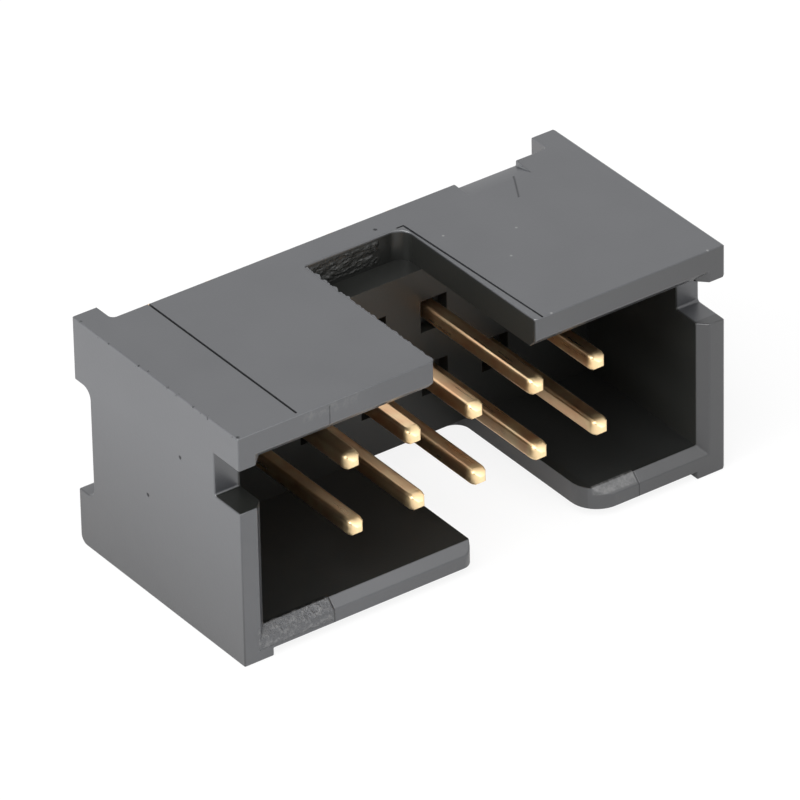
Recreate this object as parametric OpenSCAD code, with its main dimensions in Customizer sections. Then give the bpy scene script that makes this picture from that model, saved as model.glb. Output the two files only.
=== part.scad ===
// Shrouded box header for a flat-cable plug: a moulded housing with two rows of
// square contacts, a key notch in one long wall and four feet on its board side.
// X runs along the housing, -Y points out of the mouth and +Z is the keyed side.
// The origin is the middle of the contact field, on the board face of the feet.

/* [Contacts] */
// Number of contact columns along the housing
columns = 5; // [4:1:12]
// Distance between neighbouring contacts
pitch = 2.54; // [2.4:0.01:2.8]
// Side of a square contact
contact_side = 0.64; // [0.5:0.01:0.8]
// Chamfer along the four long edges of a contact
contact_chamfer = 0.12; // [0.04:0.01:0.18]
// Length of the point at each end of a contact
point_length = 0.35; // [0.2:0.01:0.6]
// Side of the flat that is left on each point
point_flat = 0.34; // [0.2:0.01:0.45]
// Distance of the contact points behind the mouth, in the row on the keyed side
point_setback = 0.39; // [0.2:0.01:1]
// Further reach of the points in the other row
lower_row_lead = 0.14; // [0:0.01:0.19]
// Reach of the solder tails past the board face
tail_reach = 3; // [2:0.1:5]
// Clearance on each side of a contact in the base
contact_fit = 0.01; // [0.005:0.005:0.03]

/* [Housing] */
// Distance from the last contact column to the end face
end_reach = 4.96; // [4.3:0.01:6]
// Depth from the board face to the mouth
housing_depth = 9.63; // [8.8:0.01:12]
// Height of the housing without its rails
housing_height = 8.68; // [8.2:0.01:11]
// Thickness of the wall with the key notch
key_wall = 1.17; // [0.8:0.01:1.5]
// Thickness of the wall with the lower slot
slot_wall = 0.86; // [0.7:0.01:1.3]
// Thickness of the end walls
end_wall = 1.01; // [0.7:0.01:1.3]
// Depth of the cavity from the mouth to its floor
cavity_depth = 6.48; // [5:0.01:7]
// Chamfer round the inner edge of the mouth
lead_in = 0.34; // [0.1:0.01:0.5]

/* [Contact pockets] */
// Width of the pocket round a contact in the cavity floor
pocket_width = 1.1; // [0.9:0.01:1.4]
// Height of the pocket round a contact in the cavity floor
pocket_height = 1.25; // [0.9:0.01:1.5]
// Depth of the pockets
pocket_depth = 0.5; // [0.2:0.01:0.9]

/* [Key notch and lower slot] */
// Width of the key notch
key_width = 4.16; // [3.6:0.01:5]
// Width of the lower slot
slot_width = 4.83; // [3.6:0.01:5.4]
// Distance of the lower slot's centre from the middle of the housing
slot_offset = 1.86; // [0:0.01:2]
// Run of the key notch and the lower slot past the cavity floor
cutout_overrun = 1.05; // [0.6:0.01:1.2]
// Radius of the rear corners of the key notch and the lower slot
cutout_radius = 0.55; // [0.2:0.01:0.9]
// Radius of the wall corners at the mouth beside the key notch
key_lip_radius = 0.15; // [0.05:0.01:0.6]
// Radius of the long wall's corner at the mouth beside the lower slot
long_lip_radius = 0.45; // [0.2:0.01:1.2]
// Radius of the short wall's corner at the mouth beside the lower slot
short_lip_radius = 1.1; // [0.2:0.01:1.2]

/* [End notches] */
// Depth of the end notches from the mouth
end_notch_depth = 1.46; // [0.8:0.01:2.5]
// Height of the end notches
end_notch_height = 1.65; // [1:0.01:2.5]
// Distance of the end notches below the top of the housing
end_notch_drop = 1.28; // [1:0.01:2]
// Radius of the lower rear corner of the end notches
end_notch_radius = 0.4; // [0.1:0.01:0.7]

/* [Board side] */
// Gap between the base and the board
board_gap = 0.89; // [0.4:0.01:1.2]
// Width of the feet along the housing
foot_width = 1; // [0.7:0.01:1.6]
// Height of the two feet on the keyed side
key_foot_height = 2.48; // [1.5:0.01:3]
// Height of the two feet on the slotted side, without the rails
slot_foot_height = 1.86; // [1.2:0.01:3]
// Fillet between the feet and the base, in the long recess
foot_fillet = 0.2; // [0.05:0.01:0.6]
// Fillet between the feet and the base, in the end recesses
end_fillet = 0.4; // [0.05:0.01:0.6]

/* [Gate dip] */
// Distance of the dip's middle from the middle of the housing
dip_offset = 6.22; // [3:0.01:6.5]
// Length of the dip along the back edge of the keyed wall
dip_length = 2.2; // [0.8:0.01:3]
// Depth of the dip at the back edge
dip_depth = 0.2; // [0.05:0.01:0.4]
// Run of the dip's slope towards the mouth
dip_run = 1; // [0.4:0.01:1.5]

/* [Rails] */
// Width of the rails under both ends
rail_width = 1.2; // [0.8:0.01:2]
// Height of the rails
rail_height = 0.3; // [0.15:0.01:0.6]
// Radius of the lower rear corner of the ends
heel_radius = 0.35; // [0.1:0.01:0.6]

/* [Hidden] */
contacts = 2 * columns;
$fn = 48;
past = 1;
housing_length = (columns - 1) * pitch + 2 * end_reach;
half_length = housing_length / 2;
top = housing_height / 2;
mouth = -housing_depth;
cavity_floor = mouth + cavity_depth;
base_back = -board_gap;
cutout_back = cavity_floor + cutout_overrun;
cavity_half = half_length - end_wall;
cavity_top = top - key_wall;
cavity_bottom = -top + slot_wall;
hole_side = contact_side + 2 * contact_fit;

// Position of contact i: odd contacts sit in the row on the keyed side.
function contact_x(i) = (floor((i - 1) / 2) - (columns - 1) / 2) * pitch;
function contact_z(i) = (i % 2 == 1 ? 1 : -1) * pitch / 2;

// Prism between two corners given as [x, y, z].
module block(low, high) {
    translate(low) cube(high - low);
}

// What a round of radius r leaves of the square corner at the origin, in the quadrant +x +y.
module corner_spandrel(r) {
    difference() {
        square(r);
        translate([r, r]) circle(r);
    }
}

// Upright prism of a 2D shape given in X and Y.
module along_z(low, high) {
    translate([0, 0, low]) linear_extrude(high - low) children();
}

// Prism along X of a 2D shape given in Y and Z.
module along_x(low, high) {
    translate([low, 0, 0]) rotate([90, 0, 90]) linear_extrude(high - low) children();
}

// Copies for both ends of the housing.
module both_ends() {
    children();
    mirror([1, 0, 0]) children();
}

module outer_body() {
    block([-half_length, mouth, -top], [half_length, 0, top]);
    both_ends()
        block([half_length - rail_width, mouth, -top - rail_height], [half_length, 0, -top + past]);
}

// Cavity with the chamfer round its mouth, mitred at the corners.
module cavity() {
    block([-cavity_half, mouth - past, cavity_bottom], [cavity_half, cavity_floor, cavity_top]);
    intersection() {
        along_z(cavity_bottom - past - lead_in, cavity_top + past + lead_in)
            polygon([
                [-cavity_half, mouth + lead_in], [cavity_half, mouth + lead_in],
                [cavity_half + lead_in + past, mouth - past], [-cavity_half - lead_in - past, mouth - past],
            ]);
        along_x(-half_length - past, half_length + past)
            polygon([
                [mouth + lead_in, cavity_bottom], [mouth + lead_in, cavity_top],
                [mouth - past, cavity_top + lead_in + past], [mouth - past, cavity_bottom - lead_in - past],
            ]);
    }
}

// Plan of a cut-out that is open at the mouth, with rounded rear corners and a rounded lip on each side.
module cutout_plan(width, left_radius, right_radius) {
    difference() {
        translate([-width / 2, mouth - past]) square([width, cutout_back - mouth + past]);
        for (side = [0, 1])
            mirror([side, 0]) translate([width / 2, cutout_back]) rotate(180) corner_spandrel(cutout_radius);
    }
    translate([width / 2, mouth]) corner_spandrel(right_radius);
    translate([-width / 2, mouth]) rotate(90) corner_spandrel(left_radius);
}

module key_notch() {
    along_z(cavity_top, top + past) cutout_plan(key_width, key_lip_radius, key_lip_radius);
}

module lower_slot() {
    along_z(-top - rail_height - past, cavity_bottom)
        translate([slot_offset, 0]) cutout_plan(slot_width, long_lip_radius, short_lip_radius);
}

// Notches through both end walls, beside the mouth and near the keyed wall.
module end_notches() {
    low = top - end_notch_drop - end_notch_height;
    back = mouth + end_notch_depth;
    both_ends()
        along_x(cavity_half - past, half_length + past)
            difference() {
                translate([mouth - past, low]) square([end_notch_depth + past, end_notch_height]);
                translate([back, low]) rotate(90) corner_spandrel(end_notch_radius);
            }
}

// Recess between the feet: right along the board side, and across both ends.
module board_recess() {
    long_half = half_length - foot_width;
    end_low = -top + slot_foot_height;
    end_high = top - key_foot_height;
    along_z(-top - past, top + past)
        difference() {
            translate([-long_half, base_back]) square([2 * long_half, board_gap + past]);
            for (side = [0, 1])
                mirror([side, 0]) translate([long_half, base_back]) rotate(90) corner_spandrel(foot_fillet);
        }
    along_x(-half_length - past, half_length + past)
        difference() {
            translate([base_back, end_low]) square([board_gap + past, end_high - end_low]);
            translate([base_back, end_low]) corner_spandrel(end_fillet);
            translate([base_back, end_high]) rotate(-90) corner_spandrel(end_fillet);
        }
}

// Rounded heels where the underside of the ends meets the board face.
module heels() {
    along_x(-half_length - past, half_length + past)
        translate([0, -top - rail_height]) rotate(90) corner_spandrel(heel_radius);
}

// Shallow slope where the moulding gate was, in the keyed side's back edge.
module gate_dip() {
    along_x(dip_offset - dip_length / 2, dip_offset + dip_length / 2)
        polygon([
            [base_back - dip_run, top], [base_back, top - dip_depth],
            [past, top - dip_depth], [past, top + past], [base_back - dip_run, top + past],
        ]);
}

// Tight holes through the base, each with a wider pocket at the cavity floor.
module contact_seats() {
    for (i = [1:contacts])
        translate([contact_x(i), 0, contact_z(i)]) {
            block([-hole_side / 2, cavity_floor, -hole_side / 2], [hole_side / 2, past, hole_side / 2]);
            block([-pocket_width / 2, cavity_floor - past, -pocket_height / 2],
                [pocket_width / 2, cavity_floor + pocket_depth, pocket_height / 2]);
        }
}

module housing() {
    color("dimgray")
        difference() {
            outer_body();
            cavity();
            key_notch();
            lower_slot();
            end_notches();
            board_recess();
            heels();
            gate_dip();
            contact_seats();
        }
}

// Outline of contact i along Y, pointed at both ends.
module contact_outline(i) {
    half = contact_side / 2;
    flat = point_flat / 2;
    front = mouth + point_setback - (contact_z(i) < 0 ? lower_row_lead : 0);
    polygon([
        [-flat, front], [flat, front], [half, front + point_length],
        [half, tail_reach - point_length], [flat, tail_reach], [-flat, tail_reach],
        [-half, tail_reach - point_length], [-half, front + point_length],
    ]);
}

// Cross-section of a contact: a square with chamfered corners, made by two squares at 45 degrees.
module contact_section() {
    intersection() {
        square(contact_side, center = true);
        rotate(45) square((contact_side - contact_chamfer) * sqrt(2), center = true);
    }
}

module contact_pin(i) {
    color("goldenrod")
        translate([contact_x(i), 0, contact_z(i)])
            intersection() {
                along_z(-contact_side, contact_side) contact_outline(i);
                rotate([0, 90, 0]) along_z(-contact_side, contact_side) contact_outline(i);
                translate([0, tail_reach, 0]) rotate([90, 0, 0])
                    linear_extrude(tail_reach - mouth) contact_section();
            }
}

housing();
for (i = [1:contacts])
    contact_pin(i);
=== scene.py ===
# Shrouded box header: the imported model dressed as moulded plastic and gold-plated contacts.
import math

import bmesh
import bpy
from mathutils import Matrix, Vector, noise


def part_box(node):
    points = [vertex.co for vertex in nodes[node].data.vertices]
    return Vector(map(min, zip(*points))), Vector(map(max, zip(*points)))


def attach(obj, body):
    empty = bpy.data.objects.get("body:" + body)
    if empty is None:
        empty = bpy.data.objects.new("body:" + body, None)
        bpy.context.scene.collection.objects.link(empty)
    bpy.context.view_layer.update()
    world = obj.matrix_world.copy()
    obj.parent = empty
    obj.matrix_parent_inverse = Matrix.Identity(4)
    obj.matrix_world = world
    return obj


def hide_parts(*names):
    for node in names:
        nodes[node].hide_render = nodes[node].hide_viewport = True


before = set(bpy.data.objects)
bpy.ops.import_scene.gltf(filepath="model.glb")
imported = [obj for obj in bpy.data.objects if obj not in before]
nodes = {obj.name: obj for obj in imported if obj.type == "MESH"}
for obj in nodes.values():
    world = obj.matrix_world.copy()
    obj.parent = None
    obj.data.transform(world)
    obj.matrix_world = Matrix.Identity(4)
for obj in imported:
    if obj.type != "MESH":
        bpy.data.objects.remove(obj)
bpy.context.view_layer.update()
mm = 0.001
weldDistance = 0.001 * mm
flatAngle = math.radians(1)
creaseAngle = math.radians(40)  # edges that turn further than this stay crisp
housingLow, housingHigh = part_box("housing")
pinNames = [name for name in nodes if name.startswith("contact_pin")]
print("frame loaded:", len(nodes), "nodes")

cameraSettings = {
    "place": (-160.33, -231.44, 175.79),  # mm from the frame's origin
    "turn": (57.586, 0.998, -35.896),  # degrees
    "lens": 437.94,
    "shift": (-0.000625, 0.000625),
    "clip": (0.01, 20),  # metres
}


def makeCamera():
    data = bpy.data.cameras.new("viewCamera")
    data.lens = cameraSettings["lens"]
    data.shift_x, data.shift_y = cameraSettings["shift"]
    data.clip_start, data.clip_end = cameraSettings["clip"]
    camera = bpy.data.objects.new("viewCamera", data)
    camera.location = Vector(cameraSettings["place"]) * mm
    camera.rotation_euler = [math.radians(angle) for angle in cameraSettings["turn"]]
    bpy.context.scene.collection.objects.link(camera)
    bpy.context.scene.camera = camera
    bpy.context.scene.view_settings.view_transform = "Standard"


makeCamera()
print("camera placed")


# Every pattern reads Object coordinates, turned into millimetres.
def startMaterial(name):
    material = bpy.data.materials.new(name)
    material.use_nodes = True
    tree = material.node_tree
    tree.nodes.clear()
    return material, tree


def addNode(tree, kind, links=(), **settings):
    made = tree.nodes.new(kind)
    for key, value in settings.items():
        setattr(made, key, value)
    for socket, source in links:
        if isinstance(source, bpy.types.NodeSocket):
            tree.links.new(source, made.inputs[socket])
        else:
            made.inputs[socket].default_value = source
    return made


def maths(tree, operation, first, second=0.0, clamp=False):
    links = [(0, first), (1, second)]
    return addNode(tree, "ShaderNodeMath", links, operation=operation, use_clamp=clamp).outputs[0]


def times(tree, first, second):
    return maths(tree, "MULTIPLY", first, second)


def strongest(tree, masks):
    whole = masks[0]
    for mask in masks[1:]:
        whole = maths(tree, "MAXIMUM", whole, mask)
    return whole


def millimetres(tree):
    coords = addNode(tree, "ShaderNodeTexCoord").outputs["Object"]
    links = [(0, coords), ("Scale", 1 / mm)]
    return addNode(tree, "ShaderNodeVectorMath", links, operation="SCALE").outputs[0]


def noiseField(tree, coords, scale, detail, roughness):
    links = [("Vector", coords), ("Scale", scale), ("Detail", detail), ("Roughness", roughness)]
    return addNode(tree, "ShaderNodeTexNoise", links).outputs["Fac"]


def remap(tree, value, low, high, toLow, toHigh, kind="LINEAR"):
    links = [("Value", value), ("From Min", low), ("From Max", high), ("To Min", toLow), ("To Max", toHigh)]
    return addNode(tree, "ShaderNodeMapRange", links, interpolation_type=kind).outputs[0]


def band(tree, value, low, high, soft):
    rise = remap(tree, value, low - soft, low + soft, 0.0, 1.0, "SMOOTHSTEP")
    fall = remap(tree, value, high - soft, high + soft, 1.0, 0.0, "SMOOTHSTEP")
    return times(tree, rise, fall)


def boxMask(tree, axes, low, high, soft):
    bandX, bandY, bandZ = (band(tree, *span, soft) for span in zip(axes, low, high))
    return times(tree, times(tree, bandX, bandY), bandZ)


def mixColour(tree, factor, first, second):
    links = [("Factor", factor), (6, first), (7, second)]
    return addNode(tree, "ShaderNodeMix", links, data_type="RGBA").outputs[2]


def bump(tree, height, strength, distance, normal=None):
    links = [("Height", height), ("Strength", strength), ("Distance", distance * mm)]
    if normal:
        links.append(("Normal", normal))
    return addNode(tree, "ShaderNodeBump", links).outputs[0]


plasticSettings = {
    "shade": (0.046, 0.048, 0.053, 1),
    "lighterShade": (0.054, 0.056, 0.061, 1),
    # painted shade in the recesses
    "paintedShadeColour": (0.012, 0.0125, 0.0115, 1),
    # painted shade that the tone falls to
    "paintedShadeTone": (0.01, 0.01, 0.011, 1),
    # colour of the scuffs and dust, and of one painted glint
    "scuffDustAndGlintShade": (0.16, 0.16, 0.16, 1),
    "lineShade": (0.004, 0.004, 0.004, 1),
    "roughness": (0.3, 0.4),
    "markRoughness": 0.5,  # added in the dark marks
    "reflectivity": 1.72,  # index of refraction
    "gloss": 0.5,  # specular level outside the dull parts
    "paintedShadeDullness": 0.6,
    # noises: bumps in a millimetre, detail, roughness
    "cloud": (0.35, 3, 0.5),
    "grain": (9.0, 4, 0.6),
    "wear": (5.0, 5, 0.65),
    "chipping": (3.5, 4, 0.7),
    "toneLevels": (0.35, 0.65),  # of the cloud, from the shade to the lighter one
    "sheenLevels": (0.3, 0.7),  # of the cloud, from the lower roughness to the higher
    # reliefs: strength, and height in mm
    "grainRelief": (0.12, 0.02),
    "lineRelief": (1.0, 0.03),
    "scuffRelief": (0.9, 0.12),
    # how soft the borders of marks are, in mm
    "lineSoftness": 0.015,
    "shadeFallAndChipSoftness": 0.02,
    "paintedShadeSoftness": 0.03,
    # parts as low corner and high corner in mm
    # painted shade in the cavity, the key notch and the floor of the -X end's notch
    "paintedShadeParts": (
        ((-9.1, -9.3, -3.5), (9.1, -2.0, 3.2)),
        ((-2.12, -9.58, 3.0), (2.12, -2.02, 4.27)),
        ((-10.02, -9.6, 1.3), (-8.9, -8.2, 1.5)),
    ),
    # where the painted shade falls off: corners, axis, from, to, share at each
    "paintedShadeFalls": (
        ((-10.2, -10, -5), (-9.99, 1, 5), 2, -4.6, 2.2, 0.85, 0.0),
        ((-9.9, -9.8, -4.6), (10.2, -9.2, 4.31), 0, -5.0, 9.0, 0.0, 0.8),
        ((4.1, -9.2, -4.6), (4.6, -2, -3.4), 1, -9.2, -3.0, 0.8, 0.9),
    ),
    # worn parts: corners, softness, wear from, to, share at each
    "scuff": ((-9.45, -9.75, -4.2), (-6.38, -9.2, -3.35), 0.05, 0.5, 0.62, 0.0, 0.6),
    "smudge": ((-7.4, -9.8, 3.95), (-5.2, -9.58, 4.3), 0.1, 0.45, 0.65, 0.0, 0.35),
    "grainyPatch": ((4.6, -9.75, -3.75), (6.32, -9.2, -3.35), 0.03, 0.35, 0.6, 0.3, 1.0),
    "specksAndGlint": (
        (2.82, -3.39, 4.34),
        (3.88, -5.82, 4.34),
        (5.09, -4.47, 4.34),
        (9.32, -9.57, 4.34),
        # a painted glint on the top's front edge
        (2.77, -9.57, 4.34),
    ),
    "speckAndGlintSize": (0.03, 0.06),
    "darkSpecks": ((1.23, -1.67, 4.34), (-9.95, -9.5, 4.3), (-10.04, -6.2, 1.9), (-10.04, -4.2, -0.6)),
    "darkSpeckSize": (0.04, 0.1),
    "darkSpeckStrength": 0.7,
    "seamLine": ((-7.61, -9.46, 4.2), (-7.53, -0.9, 4.5)),
    "backLine": ((1.85, -2.07, 4.2), (2.16, -2.01, 4.5)),
    "rimLine": ((2.025, -9.6, 4.2), (2.09, -2.03, 4.5)),
    "rimSlope": 0.035,  # how far the rim line leans across for each mm in depth
    "witnessLines": (
        ((-6.385, -9.7, 3.5), (-6.335, -9.5, 4.25)),
        ((-6.385, -9.7, -4.3), (-6.335, -9.2, -3.5)),
        ((6.33, -9.7, -4.3), (6.38, -9.2, -3.5)),
    ),
    "witnessStrength": 0.35,
    # the scratch: a point on it, the direction across it, and its width, depth and height
    "scratchPlace": (6.86, -2.0),
    "scratchAcross": (0.873, -0.488),
    "scratchBand": ((-0.03, -2.95, 4.2), (0.03, -1.65, 4.5)),
    "scratchSoftness": 0.03,
    "scratchStrength": 0.5,
    "chipBand": ((-10.2, -9.7, 4.24), (-9.95, 0, 4.5)),
    "chipLevels": (0.6, 0.66),
    "chipStrength": 0.8,
}


def dots(tree, coords, places, core, rim):
    masks = []
    for place in places:
        links = [(0, coords), (1, place)]
        away = addNode(tree, "ShaderNodeVectorMath", links, operation="DISTANCE").outputs["Value"]
        masks.append(remap(tree, away, core, rim, 1.0, 0.0, "SMOOTHSTEP"))
    return strongest(tree, masks)


def makeDarkMarks(tree, coords, axes):
    # joint lines of the mould on the top, a scratch beside the dip, chips and dark dots
    values = plasticSettings
    soft = values["lineSoftness"]
    slanted = maths(tree, "ADD", axes[0], times(tree, axes[1], values["rimSlope"]))
    masks = [
        boxMask(tree, axes, *values["seamLine"], soft),
        boxMask(tree, axes, *values["backLine"], soft),
        boxMask(tree, (slanted, axes[1], axes[2]), *values["rimLine"], soft),
    ]
    for line in values["witnessLines"]:
        masks.append(times(tree, boxMask(tree, axes, *line, soft), values["witnessStrength"]))
    offsets = []
    for axis, start, share in zip(axes, values["scratchPlace"], values["scratchAcross"]):
        offsets.append(times(tree, maths(tree, "SUBTRACT", axis, start), share))
    turned = (maths(tree, "ADD", *offsets), axes[1], axes[2])
    scratch = boxMask(tree, turned, *values["scratchBand"], values["scratchSoftness"])
    masks.append(times(tree, scratch, values["scratchStrength"]))
    chipping = noiseField(tree, coords, *values["chipping"])
    chips = remap(tree, chipping, *values["chipLevels"], 0.0, values["chipStrength"])
    masks.append(times(tree, chips, boxMask(tree, axes, *values["chipBand"], values["shadeFallAndChipSoftness"])))
    darkDots = dots(tree, coords, values["darkSpecks"], *values["darkSpeckSize"])
    masks.append(times(tree, darkDots, values["darkSpeckStrength"]))
    return strongest(tree, masks)


def wornPart(tree, axes, wear, name):
    # the whole part, and the share of it that is worn
    low, high, soft, *span = plasticSettings[name]
    part = boxMask(tree, axes, low, high, soft)
    return part, times(tree, part, remap(tree, wear, *span))


def makePlastic():
    values = plasticSettings
    material, tree = startMaterial("housingPlastic")
    coords = millimetres(tree)
    axes = addNode(tree, "ShaderNodeSeparateXYZ", [(0, coords)]).outputs
    cloud = noiseField(tree, coords, *values["cloud"])
    grain = noiseField(tree, coords, *values["grain"])
    wear = noiseField(tree, coords, *values["wear"])
    lighter = remap(tree, cloud, *values["toneLevels"], 0.0, 1.0)
    colour = mixColour(tree, lighter, values["shade"], values["lighterShade"])

    # painted shade: darker at the foot of the -X end, towards the +X end of the mouth and in the slot
    for low, high, axis, *span in values["paintedShadeFalls"]:
        part = boxMask(tree, axes, low, high, values["shadeFallAndChipSoftness"])
        fall = times(tree, remap(tree, axes[axis], *span), part)
        colour = mixColour(tree, fall, colour, values["paintedShadeTone"])

    # painted shade: the recessed parts are darker and duller
    soft = values["paintedShadeSoftness"]
    paintedShade = strongest(tree, [boxMask(tree, axes, *part, soft) for part in values["paintedShadeParts"]])
    colour = mixColour(tree, paintedShade, colour, values["paintedShadeColour"])

    # white dust and a painted glint on the top's front edge, and the rough marks along the edge of the
    # mouth
    scuff, scuffed = wornPart(tree, axes, wear, "scuff")
    smudged = wornPart(tree, axes, wear, "smudge")[1]
    grainy = times(tree, grain, wornPart(tree, axes, wear, "grainyPatch")[1])
    dustAndGlint = dots(tree, coords, values["specksAndGlint"], *values["speckAndGlintSize"])
    wornAndGlint = strongest(tree, [scuffed, smudged, grainy, dustAndGlint])
    colour = mixColour(tree, wornAndGlint, colour, values["scuffDustAndGlintShade"])
    marks = makeDarkMarks(tree, coords, axes)
    colour = mixColour(tree, marks, colour, values["lineShade"])

    roughness = remap(tree, cloud, *values["sheenLevels"], *values["roughness"])
    roughness = maths(tree, "ADD", roughness, times(tree, marks, values["markRoughness"]), clamp=True)
    dull = maths(tree, "MAXIMUM", marks, times(tree, paintedShade, values["paintedShadeDullness"]))
    reflection = remap(tree, dull, 0.0, 1.0, values["gloss"], 0.0)
    normal = bump(tree, grain, *values["grainRelief"])
    normal = bump(tree, maths(tree, "SUBTRACT", 1.0, marks), *values["lineRelief"], normal)
    normal = bump(tree, times(tree, scuff, wear), *values["scuffRelief"], normal)
    links = [("Base Color", colour), ("Roughness", roughness), ("Normal", normal)]
    links += [("IOR", values["reflectivity"]), ("Specular IOR Level", reflection)]
    shader = addNode(tree, "ShaderNodeBsdfPrincipled", links)
    addNode(tree, "ShaderNodeOutputMaterial", [(0, shader.outputs[0])])
    return material


goldSettings = {
    "shade": (0.85, 0.51, 0.29, 1),
    "paleShade": (0.94, 0.71, 0.43, 1),
    "pointShade": (0.93, 0.72, 0.42, 1),
    "pointReach": (-8.95, -8.7),  # mm, where the paler points begin
    "pointPaleness": 0.9,
    "pointDullness": 0.12,
    "roughness": (0.26, 0.38),
    "cloud": (1.1, 2, 0.5),  # bumps in a millimetre, detail, roughness
    "drawn": (1.0, 3, 0.5),
    "drawnStretch": (7.0, 0.35, 7.0),  # the drawing marks run along the contact
    "levels": (0.3, 0.7),  # of both noises, from the first value to the second
    "relief": (0.1, 0.01),  # strength, and height in mm
}


def makeGold():
    values = goldSettings
    material, tree = startMaterial("contactGold")
    coords = millimetres(tree)
    links = [(0, coords), ("Scale", values["drawnStretch"])]
    stretched = addNode(tree, "ShaderNodeMapping", links).outputs[0]
    drawn = noiseField(tree, stretched, *values["drawn"])
    cloud = noiseField(tree, coords, *values["cloud"])
    paler = remap(tree, cloud, *values["levels"], 0.0, 1.0)
    colour = mixColour(tree, paler, values["shade"], values["paleShade"])
    depth = addNode(tree, "ShaderNodeSeparateXYZ", [(0, coords)]).outputs[1]
    pale = remap(tree, depth, *values["pointReach"], values["pointPaleness"], 0.0, "SMOOTHSTEP")
    colour = mixColour(tree, pale, colour, values["pointShade"])
    roughness = remap(tree, drawn, *values["levels"], *values["roughness"])
    roughness = maths(tree, "ADD", roughness, times(tree, pale, values["pointDullness"]))
    normal = bump(tree, drawn, *values["relief"])
    links = [("Base Color", colour), ("Roughness", roughness), ("Normal", normal), ("Metallic", 1.0)]
    shader = addNode(tree, "ShaderNodeBsdfPrincipled", links)
    addNode(tree, "ShaderNodeOutputMaterial", [(0, shader.outputs[0])])
    return material


plastic = makePlastic()
gold = makeGold()
print("materials made")


def newPiece(name, shape, material, slot, *stands):
    mesh = bpy.data.meshes.new(name)
    shape.to_mesh(mesh)
    shape.free()
    mesh.materials.append(material)
    piece = bpy.data.objects.new(name, mesh)
    bpy.context.scene.collection.objects.link(piece)
    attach(piece, "root")
    if stands:
        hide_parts(*stands)
    return piece


def nodeCopy(name):
    # a CAD node is loose triangles: weld them, then drop the edges inside flat faces
    shape = bmesh.new()
    shape.from_mesh(nodes[name].data)
    bmesh.ops.remove_doubles(shape, verts=shape.verts, dist=weldDistance)
    bmesh.ops.dissolve_limit(shape, angle_limit=flatAngle, verts=shape.verts, edges=shape.edges)
    return shape


def roundEdges(shape, width, segments, sharpest, keepSharp=None):
    edges = [e for e in shape.edges if e.calc_face_angle(0) > math.radians(sharpest)]
    if keepSharp:
        edges = [e for e in edges if not keepSharp((e.verts[0].co + e.verts[1].co) / 2)]
    bmesh.ops.bevel(
        shape, geom=edges, offset=width, offset_type="OFFSET", segments=segments, profile=0.5,
        affect="EDGES", clamp_overlap=False, material=-1,
    )
    for edge in shape.edges:
        edge.smooth = edge.calc_face_angle(0) < creaseAngle


def makeBar(start, end, width, low, high):
    # an upright bar along a line in x and y, from height low to high
    start, end = Vector((*start, low)), Vector((*end, high))
    size = Vector(((end.xy - start.xy).length, width, high - low)) * mm
    place = Matrix.Translation((start + end) / 2 * mm)
    turn = Matrix.Rotation(math.atan2(end.y - start.y, end.x - start.x), 4, "Z")
    shape = bmesh.new()
    bmesh.ops.create_cube(shape, size=1, matrix=place @ turn @ Matrix.Diagonal((*size, 1)))
    return shape


def carve(piece, shape):
    # cuts the closed shape out of the piece for good
    mesh = bpy.data.meshes.new("cutter")
    shape.to_mesh(mesh)
    shape.free()
    cutter = bpy.data.objects.new("cutter", mesh)
    bpy.context.scene.collection.objects.link(cutter)
    cut = piece.modifiers.new("carve", "BOOLEAN")
    cut.operation = "DIFFERENCE"
    cut.solver = "EXACT"
    cut.object = cutter
    graph = bpy.context.evaluated_depsgraph_get()
    carved = bpy.data.meshes.new_from_object(piece.evaluated_get(graph))
    piece.modifiers.clear()
    shape = bmesh.new()
    shape.from_mesh(carved)
    for edge in shape.edges:
        edge.smooth = edge.calc_face_angle(0) < creaseAngle
    shape.to_mesh(piece.data)
    shape.free()
    bpy.data.objects.remove(cutter)


def shadeSmoothly(piece):
    piece.data.polygons.foreach_set("use_smooth", [True] * len(piece.data.polygons))
    even = piece.modifiers.new("evenNormals", "WEIGHTED_NORMAL")
    even.keep_sharp = True


housingSettings = {
    "edge": 0.05,  # mm, rounding of the moulded edges
    "edgeSteps": 3,
    "cavity": ((-9.05, -9.5, -3.5), (9.05, 1, 3.2)),  # mm, where the edges stay crisp
    "endFace": 10.03,
    "endEdge": 0.11,  # mm, the rounder edges of the +X end
    "endSteps": 4,
    "sharpest": 30,  # degrees, flatter edges aren't rounded
    # tighter rounds: axes, square corner, way to the middle, old and new radius, low and high corners
    "tighterRounds": (
        ((1, 2), (-8.17, 1.41), (-1, 1), 0.4, 0.1, (8.9, -9, 1), (11, -8, 2)),
        ((1, 2), (-8.17, 1.41), (-1, 1), 0.4, 0.1, (-11, -9, 1), (-8.9, -8, 2)),
        ((0, 1), (-2.08, -2.1), (1, -1), 0.55, 0.2, (-2.2, -2.8, 3), (-1.4, -2, 5)),
    ),
    "near": 0.01,  # mm, how exactly a point has to lie on a round
    "dipEnd": (7.32, 7.69),  # mm, old and new +X end of the dip in the top's rear edge
    "dipPart": (-2, 4),  # mm, the dip lies beyond this y and above this height
    "dipNear": 0.02,
    # grooves left by the mould's inserts: start, end, width, depth in mm on the top
    "grooves": (
        ((-7.57, -9.46), (-7.57, -0.5), 0.075, 0.15),
        ((2.4, -9.5), (2.15, -2.06), 0.065, 0.1),
        ((2.17, -2.04), (1.88, -2.04), 0.06, 0.1),
    ),
    "cutterSpare": 0.5,  # mm, how far a cutter stands over the top
}


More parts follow.
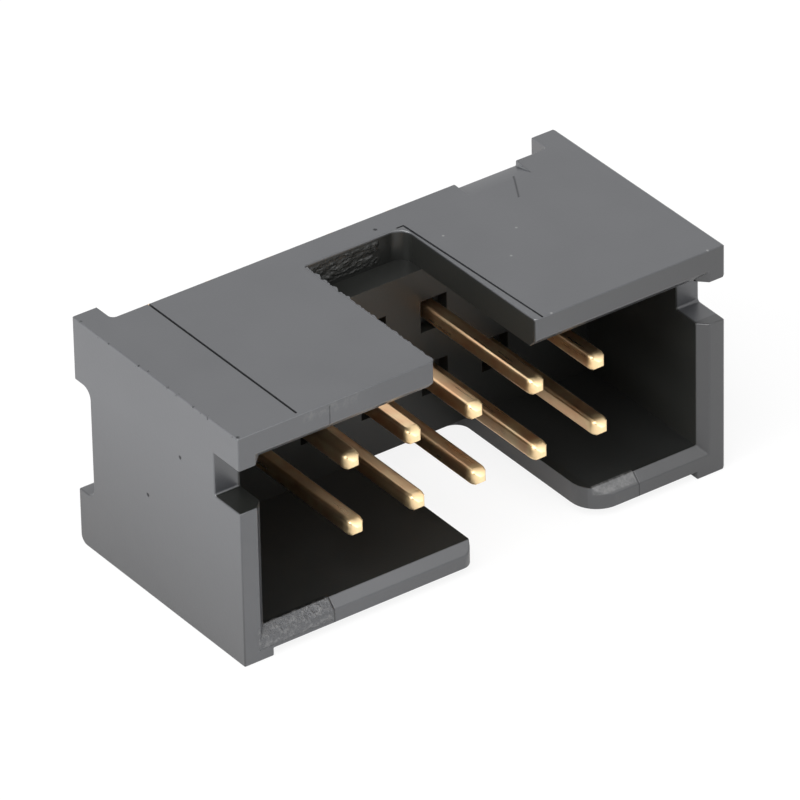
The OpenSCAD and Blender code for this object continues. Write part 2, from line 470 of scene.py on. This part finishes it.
def tightenRound(shape, axes, corner, way, old, new, low, high):
    # draws the round of a square corner in from the old radius to the new one
    near = housingSettings["near"]
    oldMiddle = [c + w * old for c, w in zip(corner, way)]
    newMiddle = [c + w * new for c, w in zip(corner, way)]
    for vert in shape.verts:
        place = vert.co / mm
        if not all(a < b < c for a, b, c in zip(low, place, high)):
            continue
        out = [place[axis] - middle for axis, middle in zip(axes, oldMiddle)]
        if abs(math.hypot(*out) - old) < near and all(o * w < near for o, w in zip(out, way)):
            for axis, middle, reach in zip(axes, newMiddle, out):
                vert.co[axis] = (middle + reach * new / old) * mm


def lengthenDip(shape):
    values = housingSettings
    oldEnd, newEnd = values["dipEnd"]
    front, floor = values["dipPart"]
    for vert in shape.verts:
        x, y, z = vert.co / mm
        if abs(x - oldEnd) < values["dipNear"] and y > front and z > floor:
            vert.co.x = newEnd * mm


def makeHousing():
    values = housingSettings
    shape = nodeCopy("housing")
    for tighter in values["tighterRounds"]:
        tightenRound(shape, *tighter)
    lengthenDip(shape)
    low, high = values["cavity"]

    def inCavity(place):
        return all(a < b / mm < c for a, b, c in zip(low, place, high))

    def offEnd(place):
        return place.x / mm < values["endFace"]

    roundEdges(shape, values["endEdge"] * mm, values["endSteps"], values["sharpest"], offEnd)
    roundEdges(shape, values["edge"] * mm, values["edgeSteps"], values["sharpest"], inCavity)
    housing = newPiece("housingShell", shape, plastic, "housing_plastic", "housing")
    top = housingHigh.z / mm
    for start, end, width, depth in values["grooves"]:
        carve(housing, makeBar(start, end, width, top - depth, top + values["cutterSpare"]))
    shadeSmoothly(housing)
    return housing


housing = makeHousing()
print("housing:", len(housing.data.polygons), "faces")

flashSettings = {
    "steps": 120,
    "from": -9.5,  # mm along the notch's left edge
    "to": -2.2,
    "edge": -2.09,
    "buried": 0.05,  # mm inside the wall
    "under": 0.004,  # mm below the top
    "reach": (0.05, 0.14),  # mm over the notch, at the mouth and at the rear
    "leastReach": 0.005,
    "evenness": 0.75,  # share of the reach that is always there
    "raggedness": 0.9,
    "thickness": 0.1,
    "thinning": 0.5,
    "rootDepths": (0.03, 0.3),  # mm below the top at the wall, upper and lower corner
    "lipDepth": 0.012,
    # noises along the edge: bumps in a millimetre, and where each is read
    "coarseWave": (4.0, 0),
    "fineWave": (11.0, 5),
    "fineShare": 0.6,
    "thickWave": (6.0, 9),
}


def wave(y, scale, place):
    return noise.noise(Vector((y * scale, place, 0)))


def makeFlash():
    # ragged fringe left by the mould along the left edge of the key notch
    values = flashSettings
    top = housingHigh.z / mm - values["under"]
    mouthReach, rearReach = values["reach"]
    shape = bmesh.new()
    bmesh.ops.create_cube(shape, size=1)
    lengthwise = [edge for edge in shape.edges if abs(edge.verts[0].co.y - edge.verts[1].co.y) > 0.5]
    bmesh.ops.subdivide_edges(shape, edges=lengthwise, cuts=values["steps"] - 1)
    for vert in shape.verts:
        share = vert.co.y + 0.5
        y = values["from"] + share * (values["to"] - values["from"])
        upper = vert.co.z > 0
        if vert.co.x < 0:
            x = values["edge"] - values["buried"]
            depth = values["rootDepths"][0 if upper else 1]
        else:
            rough = wave(y, *values["coarseWave"]) + values["fineShare"] * wave(y, *values["fineWave"])
            reach = mouthReach + share * (rearReach - mouthReach)
            reach *= values["evenness"] + values["raggedness"] * rough
            x = values["edge"] + max(values["leastReach"], reach)
            thick = values["thickness"] * (1 + values["thinning"] * wave(y, *values["thickWave"]))
            depth = values["lipDepth"] if upper else thick
        vert.co = Vector((x, y, top - depth)) * mm
    bmesh.ops.recalc_face_normals(shape, faces=shape.faces)
    return newPiece("notchFlash", shape, plastic, "housing_plastic")


makeFlash()

vestigeSettings = {
    "low": (-1.95, 3.25),  # mm, x and z on the notch's rear wall
    "high": (1.1, 4.24),
    "wall": -2.1,
    "cells": (90, 34),
    "rimCells": 4,  # the torn relief rises over this many cells from the rim
    "relief": 0.06,
    "level": 0.45,
    "tearing": (2.6, 6.0, 1.3),  # bumps in a millimetre across and up, and where the noise is read
    "fractal": (0.9, 2.1, 4),  # roughness, lacunarity, octaves
    "rimDepth": 0.006,  # mm, how far the rim lies inside the wall
    "buried": 0.08,  # and the mark's closed back
}


def makeVestige():
    # torn gate mark on the rear wall of the key notch
    values = vestigeSettings
    (left, low), (right, high) = values["low"], values["high"]
    across, up = values["cells"]
    scaleX, scaleZ, place = values["tearing"]
    shape = bmesh.new()
    bmesh.ops.create_grid(shape, x_segments=across, y_segments=up, size=0.5)
    for vert in shape.verts:
        column = round((vert.co.x + 0.5) * across)
        row = round((vert.co.y + 0.5) * up)
        x = left + (right - left) * column / across
        z = low + (high - low) * row / up
        rim = min(column, across - column, row, up - row) / values["rimCells"]
        rough = noise.fractal(Vector((x * scaleX, z * scaleZ, place)), *values["fractal"])
        out = values["relief"] * min(1, rim) * max(0, values["level"] + rough)
        vert.co = Vector((x, values["wall"] + values["rimDepth"] - out, z)) * mm
    back = bmesh.ops.extrude_face_region(shape, geom=shape.faces[:])["geom"]
    for vert in back:
        if isinstance(vert, bmesh.types.BMVert):
            vert.co.y = (values["wall"] + values["buried"]) * mm
    bmesh.ops.recalc_face_normals(shape, faces=shape.faces)
    return newPiece("gateVestige", shape, plastic, "housing_plastic")


makeVestige()
print("mould marks made")

contactSettings = {
    "edge": 0.045,  # mm, rounding of the drawn wire's edges
    "edgeSteps": 2,
    "edgeSharpest": 40,  # degrees, flatter edges aren't rounded
    "point": 0.035,  # mm, rounding of the points
    "pointReach": 0.1,  # mm behind the end
    "pointFlat": 0.2,  # mm, the blunt end that is left of a point
    "shoulder": 0.1,  # mm, rounding where a point begins
    "shoulderReach": (0.25, 0.45),  # mm behind the end
    "pointSteps": 3,
    "pointSharpest": 20,
    "near": 0.005,  # mm, how exactly a point has to lie on the flat end
}


def sharpenPoint(shape):
    # draws the flat end of a contact in to a small blunt square
    lowest = min(vert.co.y for vert in shape.verts)
    end = [vert for vert in shape.verts if vert.co.y < lowest + contactSettings["near"] * mm]
    across = [vert.co.x for vert in end]
    share = contactSettings["pointFlat"] * mm / (max(across) - min(across))
    middle = sum((vert.co for vert in end), Vector()) / len(end)
    bmesh.ops.scale(shape, vec=(share, 1, share), space=Matrix.Translation(-middle), verts=end)


def roundPoint(shape):
    values = contactSettings
    end = min(vert.co.y for vert in shape.verts)
    near, far = (end + reach * mm for reach in values["shoulderReach"])
    behind = end + values["pointReach"] * mm
    steps, sharpest = values["pointSteps"], values["pointSharpest"]
    roundEdges(shape, values["shoulder"] * mm, steps, sharpest, lambda place: not near < place.y < far)
    roundEdges(shape, values["point"] * mm, steps, sharpest, lambda place: place.y > behind)


def makeContacts():
    values = contactSettings
    for name in pinNames:
        shape = nodeCopy(name)
        sharpenPoint(shape)
        roundPoint(shape)
        roundEdges(shape, values["edge"] * mm, values["edgeSteps"], values["edgeSharpest"])
        for edge in shape.edges:
            edge.smooth = True
        pin = newPiece(name.replace("contact_pin_", "platedContact"), shape, gold, "contact_plating", name)
        shadeSmoothly(pin)


makeContacts()
print("contacts:", len(pinNames))

stageSettings = {
    "floorSize": 3.0,  # metres
    "floorGap": 0.02,  # mm under the rails
    "paper": (0.9, 0.9, 0.9, 1),
    "whiteness": 0.88,  # share of plain white that the camera sees
    "mirroredWhiteness": 0.3,  # and that the object's reflections see
    "worldLevel": 0.42,
    # name: place in metres, size in metres, watts
    "lamps": {
        "keyLamp": ((-0.35, -0.15, 0.55), 0.5, 4.2),
        "leftLamp": ((-0.6, 0.0, 0.2), 0.4, 3.4),
        "frontLamp": ((0.1, -0.5, 0.55), 0.5, 1.8),
    },
}


def backgroundShare(tree, seenShare, mirroredShare):
    # how white the surroundings look to the camera, through glass and in reflections
    path = addNode(tree, "ShaderNodeLightPath").outputs
    seen = maths(tree, "MAXIMUM", path["Is Camera Ray"], path["Is Transmission Ray"])
    seen = maths(tree, "MULTIPLY", seen, seenShare)
    mirrored = maths(tree, "MULTIPLY", path["Is Glossy Ray"], mirroredShare)
    return maths(tree, "MAXIMUM", seen, mirrored)


def makeStage():
    values = stageSettings
    material, tree = startMaterial("paperSweep")
    paper = addNode(tree, "ShaderNodeBsdfDiffuse", [("Color", values["paper"])])
    white = addNode(tree, "ShaderNodeEmission", [("Color", (1, 1, 1, 1)), ("Strength", 1.0)])
    share = backgroundShare(tree, values["whiteness"], values["mirroredWhiteness"])
    blend = addNode(tree, "ShaderNodeMixShader", [(0, share), (1, paper.outputs[0]), (2, white.outputs[0])])
    addNode(tree, "ShaderNodeOutputMaterial", [(0, blend.outputs[0])])
    sheet = bmesh.new()
    bmesh.ops.create_grid(sheet, x_segments=1, y_segments=1, size=values["floorSize"] / 2)
    bmesh.ops.translate(sheet, vec=(0, 0, housingLow.z - values["floorGap"] * mm), verts=sheet.verts)
    mesh = bpy.data.meshes.new("paperFloor")
    sheet.to_mesh(mesh)
    sheet.free()
    mesh.materials.append(material)
    floor = bpy.data.objects.new("paperFloor", mesh)
    bpy.context.scene.collection.objects.link(floor)

    world = bpy.data.worlds.new("studio")
    bpy.context.scene.world = world
    world.use_nodes = True
    tree = world.node_tree
    tree.nodes.clear()
    level = remap(tree, backgroundShare(tree, 1.0, 1.0), 0.0, 1.0, values["worldLevel"], 1.0)
    sky = addNode(tree, "ShaderNodeBackground", [("Color", (1, 1, 1, 1)), ("Strength", level)])
    addNode(tree, "ShaderNodeOutputWorld", [(0, sky.outputs[0])])

    for name, (place, size, watts) in values["lamps"].items():
        data = bpy.data.lights.new(name, "AREA")
        data.size = size
        data.energy = watts
        lamp = bpy.data.objects.new(name, data)
        lamp.location = place
        lamp.rotation_euler = (-Vector(place)).to_track_quat("-Z", "Y").to_euler()
        bpy.context.scene.collection.objects.link(lamp)


makeStage()
print("stage and lamps placed")
